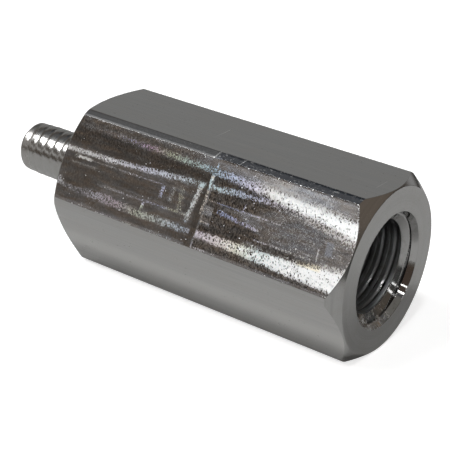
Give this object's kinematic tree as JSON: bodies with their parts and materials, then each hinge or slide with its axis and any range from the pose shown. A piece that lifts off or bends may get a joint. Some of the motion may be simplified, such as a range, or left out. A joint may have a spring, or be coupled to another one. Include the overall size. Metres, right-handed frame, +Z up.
{
  "type": "threaded hex adapter",
  "caption": "Hexagon bar adapter with a threaded stud on one end and a larger threaded hole in the other, plated bright, with turned end chamfers.",
  "frame": {"origin": "middle of the bounding box's underside, on the flat that the body lies on", "axes": "+X along the thread axis from the stud towards the threaded hole, +Z up from the resting flat, corners of the hexagon along +Y and -Y"},
  "size_m": [0.051, 0.0216, 0.0191],
  "materials": {
    "plated_steel": "bright nickel-chrome plate over machined steel, fine lengthwise polishing marks, darker and duller down inside the threaded hole"
  },
  "bodies": {
    "root": {"adapter_body": "plated_steel"}
  },
  "joints": []
}
